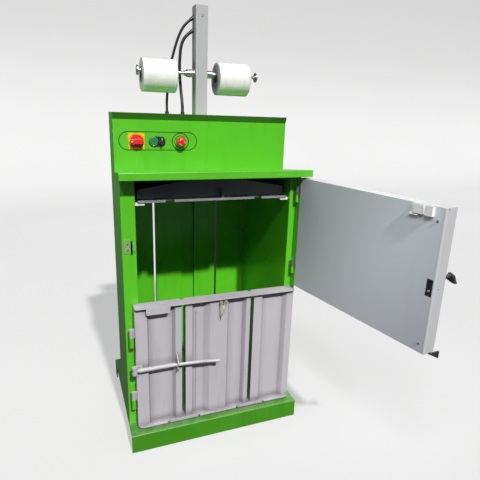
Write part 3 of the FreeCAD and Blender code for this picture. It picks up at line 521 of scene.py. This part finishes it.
def strap_roll(name, node, body, x0):
    """Wound roll: fine ridges on the face, stepped turns on both ends."""
    bore, outer, wide = 30.2, 62.5, 130
    chamfer, ridge = 1.6, 0.25
    steps, face_steps = 52, 36
    local = random.Random(x0)

    def turn(i):
        return bore + (outer - chamfer - bore) * i / steps

    outline = []
    for i in range(steps + 1):
        outline.append((turn(i), wide - (ridge if i % 2 else 0.0) - local.uniform(0, 0.35)))
    outline += [(outer - 0.7, wide - 0.5), (outer - 0.15, wide - chamfer)]
    for i in range(1, face_steps):
        outline.append((outer - 0.05 - local.uniform(0, 0.22),
                        wide - chamfer - (wide - 2 * chamfer) * i / face_steps))
    outline += [(outer - 0.15, chamfer), (outer - 0.7, 0.5)]
    for i in range(steps, -1, -1):
        outline.append((turn(i), (ridge if i % 2 else 0.0) + local.uniform(0, 0.35)))
    roll = lathe(name, outline, (x0 * MM, 0.230, 1.445), (1, 0, 0), MATS["strap_film"], body,
                 steps=96)
    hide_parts(node)


strap_roll("wound_roll_left", "roll_left", "roll_left_turns", -226)
strap_roll("wound_roll_right", "roll_right", "roll_right_turns", 73)


# ------------------------------------------------------------------ hoses

def hose(name, node, route, diameter):
    """A hose along a route in metres, standing for its CAD tube."""
    cu = bpy.data.curves.new(name, "CURVE")
    cu.dimensions = "3D"
    sp = cu.splines.new("NURBS")
    sp.points.add(len(route) - 1)
    for p, q in zip(sp.points, route):
        p.co = (*q, 1)
    sp.order_u = 3
    sp.use_endpoint_u = True
    sp.resolution_u = 12
    cu.bevel_depth = diameter / 2
    cu.bevel_resolution = 6
    cu.use_fill_caps = True
    cu.materials.append(MATS["hose_rubber"])
    o = bpy.data.objects.new(name, cu)
    scene.collection.objects.link(o)
    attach(o, "frame")
    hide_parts(node)


hose("feed_hose", "hose_upper", [
    (-0.03082, 0.236, 1.65476), (-0.0482, 0.236, 1.6412), (-0.0631, 0.239, 1.6214),
    (-0.0753, 0.2473, 1.5953), (-0.084, 0.2601, 1.565), (-0.091, 0.279, 1.531),
    (-0.097, 0.295, 1.496), (-0.102, 0.303, 1.458), (-0.1075, 0.299, 1.42),
    (-0.114, 0.286, 1.388), (-0.12, 0.268, 1.363), (-0.123, 0.258, 1.346),
    (-0.124, 0.253, 1.329), (-0.124, 0.253, 1.312)], 0.010)
hose("return_hose", "hose_lower", [
    (-0.03082, 0.236, 1.61076), (-0.0487, 0.236, 1.5968), (-0.062, 0.2382, 1.5774),
    (-0.0686, 0.2436, 1.553), (-0.0689, 0.2535, 1.5254), (-0.0686, 0.264, 1.496),
    (-0.0665, 0.272, 1.462), (-0.064, 0.273, 1.427), (-0.062, 0.269, 1.392),
    (-0.0605, 0.261, 1.362), (-0.06, 0.253, 1.336), (-0.06, 0.253, 1.312)], 0.012)


# ------------------------------------------------------------------ control panel details

FACE_Y = 137.0
STOP_X, SWITCH_X, DEVICE_Z = -98, -266, 1201


def stadium(x0, x1, z0, z1, y):
    """The outline of a slot with round ends, in mm."""
    n = 20
    r = (z1 - z0) / 2
    cz = (z0 + z1) / 2
    pts = []
    for cx, start in ((x1 - r, -math.pi / 2), (x0 + r, math.pi / 2)):
        for i in range(n + 1):
            a = start + math.pi * i / n
            pts.append((cx + r * math.cos(a), y, cz + r * math.sin(a)))
    return pts


def printed(name, path, width, thick=0.15):
    ribbon(name, path, width, thick, PRINT, "frame")


def collar(name, outline, at, slot):
    lathe(name, outline, at, FRONT, MATS[slot], "frame")


def mark(name, centre, size, body):
    """A white pointer line let into a knob's face."""
    bm = bmesh.new()
    slab(bm, centre, size)
    finish_mesh(name, bm, WHITE, body, smooth=False)


printed("panel_outline", stadium(-330, -33, 1169, 1236, FACE_Y), 3.0)
printed("stop_outline", circle(STOP_X, DEVICE_Z, 32, FACE_Y), 3.0)
printed("stop_inner_outline", circle(STOP_X, DEVICE_Z, 22, FACE_Y), 2.0)
collar("stop_collar", [(10.2, 0), (15.5, 0), (15.5, 3), (14.5, 4), (12, 5), (12, 11.4),
                       (10.2, 11.4)], (-0.098, 0.137, 1.201), "fitting_black")
printed("switch_ring", circle(SWITCH_X, DEVICE_Z, 27.5, FACE_Y - 2.5), 1.2, 0.12)
collar("button_bezel", [(14.3, 0), (17.2, 0), (17.2, 2.2), (16.4, 3.2), (15.2, 3.2),
                        (14.3, 2.4)], (-0.202, 0.134, 1.202), "bright_steel")
collar("selector_bezel", [(12.6, 0), (15.4, 0), (15.4, 1.8), (14.6, 2.6), (13.2, 2.6),
                          (12.6, 2.0)], (-0.173, 0.134, 1.204), "fitting_black")
mark("selector_line", (-173, 116.3, 1211), (1.8, 0.5, 9), "selector")
mark("switch_line", (-285, 109.8, DEVICE_Z), (9, 0.5, 2.0), "main_switch")
for i in range(3):
    start, reach, step = math.radians(90 + 120 * i), 11, 0.11
    arc = [(STOP_X + reach * math.cos(start + k * step), 104.85,
            DEVICE_Z + reach * math.sin(start + k * step)) for k in range(10)]
    ribbon("stop_arrow_%d" % i, arc, 1.3, 0.2, WHITE, "stop_button", closed=False)


# ------------------------------------------------------------------ welds, scrap, door, wear

def bead(name, path, radius, mat, body, pitch=3.2, closed=False):
    """A weld run: a low tube along the path (mm) whose girth pulses once a ripple."""
    sides = 8
    pts = [Vector(p) for p in path]
    stations = []
    ends = pts[1:] + pts[:1] if closed else pts[1:]
    for a, b in zip(pts, ends):
        steps = max(2, int((b - a).length / pitch * 4))
        stations += [(a.lerp(b, i / steps), (b - a).normalized()) for i in range(steps)]
    if not closed:
        stations.append((pts[-1], stations[-1][1]))
    bm = bmesh.new()
    rings, far = [], 0.0
    for k, (p, d) in enumerate(stations):
        far += (p - stations[k - 1][0]).length if k else 0.0
        fade = 1.0 if closed else min(1.0, k * 0.5 + 0.3, (len(stations) - 1 - k) * 0.5 + 0.3)
        r = radius * fade * (0.82 + 0.18 * abs(math.sin(math.pi * far / pitch)))
        _, x, y, _ = frame_of(p, d)
        rings.append([bm.verts.new((p + (x * math.cos(a) + y * math.sin(a)) * r) * MM)
                      for a in (2 * math.pi * j / sides for j in range(sides))])
    n = len(rings)
    for i in range(n if closed else n - 1):
        a, b = rings[i], rings[(i + 1) % n]
        for j in range(sides):
            bm.faces.new((a[j], b[j], b[(j + 1) % sides], a[(j + 1) % sides]))
    if not closed:
        bm.faces.new(rings[0])
        bm.faces.new(rings[-1])
    finish_mesh(name, bm, mat, body)


GATE = MATS["gate_paint"]
STRIP_Y = -42.2
for i, (x0, x1) in enumerate(((-316, -290), (-158, -143), (-122, -100), (-18, 12), (16, 46),
                              (135, 148), (168, 198), (320, 342))):
    for tag, z in (("top", 601.6), ("low", 93.4)):
        bead("gate_weld_%s_%d" % (tag, i), [(x0, STRIP_Y, z), (x1, STRIP_Y, z)], 1.9, GATE,
             "gate")
for i, z in enumerate((481.5, 208.5)):
    bead("hinge_weld_%d" % i, [(-320.6, -35.4, z), (-320.6, -35.4, z + 32)], 1.7, GATE, "gate")
for i, x in enumerate((-270, -180, -60, 40, 150, 250)):
    bead("platen_weld_%d" % i, [(x, 39.4, 998.8), (x + 44, 39.4, 998.8)], 2.0, WELD, "ram")
for side, x in (("left", -19.6), ("right", 29.6)):
    reach, points = 15.2, 28
    ring = [(x, 230 + reach * math.cos(a), 1460 + reach * math.sin(a))
            for a in (2 * math.pi * k / points for k in range(points))]
    bead("boss_weld_" + side, ring, 1.6, MATS["mast_paint"], "frame",
         pitch=4.0, closed=True)


def strap_scrap():
    """A crumpled end of tan strap caught under the gate's top flange."""
    left = [(14, 600), (13, 585), (15, 560), (16, 535), (18, 514)]
    right = [(47, 601), (49, 588), (40, 566), (31, 545), (20, 513)]
    rows, cols = 17, 9
    local = random.Random(3)
    bm = bmesh.new()
    grid = []
    for i in range(rows):
        f = i / (rows - 1) * (len(left) - 1)
        k = min(int(f), len(left) - 2)
        u = f - k
        a = Vector(left[k]).lerp(Vector(left[k + 1]), u)
        b = Vector(right[k]).lerp(Vector(right[k + 1]), u)
        row = []
        for j in range(cols):
            p = a.lerp(b, j / (cols - 1))
            curl = 9.0 * noise.noise(Vector((p.x * 0.12, p.y * 0.06, 4.0)))
            y = -46.5 + max(-4.0, min(3.4, curl)) + local.uniform(-0.15, 0.15)
            row.append(bm.verts.new(Vector((p.x, y, p.y)) * MM))
        grid.append(row)
    for i in range(rows - 1):
        for j in range(cols - 1):
            bm.faces.new((grid[i][j], grid[i][j + 1], grid[i + 1][j + 1], grid[i + 1][j]))
    tan = paint("strap_tan", (0.46, 0.45, 0.33), rough=0.45, vary=0.25, chips=0.2,
                chip=(0.15, 0.15, 0.12), grime=1.0, dust=0.2, scratches=0.3)
    o = finish_mesh("strap_scrap", bm, tan, "gate")
    mod = o.modifiers.new("thick", "SOLIDIFY")
    mod.thickness = 0.0005


strap_scrap()


DOOR_PINS, DOOR_TILT = (344, -20), math.radians(10.14)


def door_point(x, along, z):
    """Door frame (mm through, mm from the pins, mm up) to world metres."""
    a = DOOR_TILT
    return Vector((DOOR_PINS[0] + x * math.cos(a) + along * math.sin(a),
                   DOOR_PINS[1] + x * math.sin(a) - along * math.cos(a), z)) * MM


INWARD = (door_point(0, 0, 0) - door_point(1, 0, 0)).normalized()
THROUGH = -INWARD
ALONG = (door_point(0, 1, 0) - door_point(0, 0, 0)).normalized()
lathe("latch_pin", [(0.05, 0), (4.6, 0), (4.6, 3.5), (4.0, 5.2), (2.4, 6.2), (0.05, 6.4)],
      door_point(8.2, 636.8, 822), INWARD, MATS["bright_steel"], "door", steps=32)

bm = bmesh.new()
for x, along, size in ((-6.1, 568.8, (3.0, 34.0, 29.0)), (-1.2, 553.3, (7.0, 3.0, 29.0)),
                       (-1.2, 584.3, (7.0, 3.0, 29.0))):
    slab(bm, door_point(x, along, 1060) / MM, size, (THROUGH, ALONG, UP))
bmesh.ops.bevel(bm, geom=list(bm.edges), offset=0.0006, segments=2, affect="EDGES")
finish_mesh("bracket_cheek", bm, OWN["interlock_bracket"], "door")


def sheet_seam():
    """The chipped joint line down the gate's middle sheet, in short uneven dashes."""
    local = random.Random(11)
    bm = bmesh.new()
    z = 112.0
    while z < 560:
        run = local.uniform(4, 17)
        wide = local.uniform(0.7, 1.5)
        slab(bm, (-78.5 + local.uniform(-0.5, 0.5), -25.15, z + run / 2), (wide, 0.3, run))
        z += run + local.uniform(1, 9)
    dark = plastic("seam_dirt", (0.10, 0.09, 0.09), 0.7, dust=0.4)
    finish_mesh("sheet_seam", bm, dark, "gate", smooth=False)


sheet_seam()


def ledge_flakes():
    """Thin uneven flakes where paint has come off the gate's bottom ledge."""
    spots = ((-254, -53, 22, 4), (-238, -50, 12, 5), (-226, -54, 17, 4), (-212, -51, 9, 3),
             (-30, -54, 12, 3), (20, -52, 9, 3), (255, -53, 14, 3))   # x, y, length, width
    z, thick, corners = 92.02, 0.15, 11
    primer = plastic("bare_primer", (0.72, 0.70, 0.71), 0.6, dust=0.3)
    local = random.Random(5)
    bm = bmesh.new()
    for x, y, length, wide in spots:
        rim = []
        for k in range(corners):
            a = 2 * math.pi * k / corners
            reach = local.uniform(0.65, 1.0) / 2
            rim.append((x + length * reach * math.cos(a), y + wide * reach * math.sin(a)))
        low = [bm.verts.new(Vector((px, py, z)) * MM) for px, py in rim]
        top = [bm.verts.new(Vector((px, py, z + thick)) * MM) for px, py in rim]
        bm.faces.new(low)
        bm.faces.new(top)
        for k in range(corners):
            j = (k + 1) % corners
            bm.faces.new((low[k], low[j], top[j], top[k]))
    finish_mesh("ledge_flakes", bm, primer, "gate", smooth=False)


ledge_flakes()


# ------------------------------------------------------------------ closing

camera()
lights()
backdrop(floor_paint("floor"))
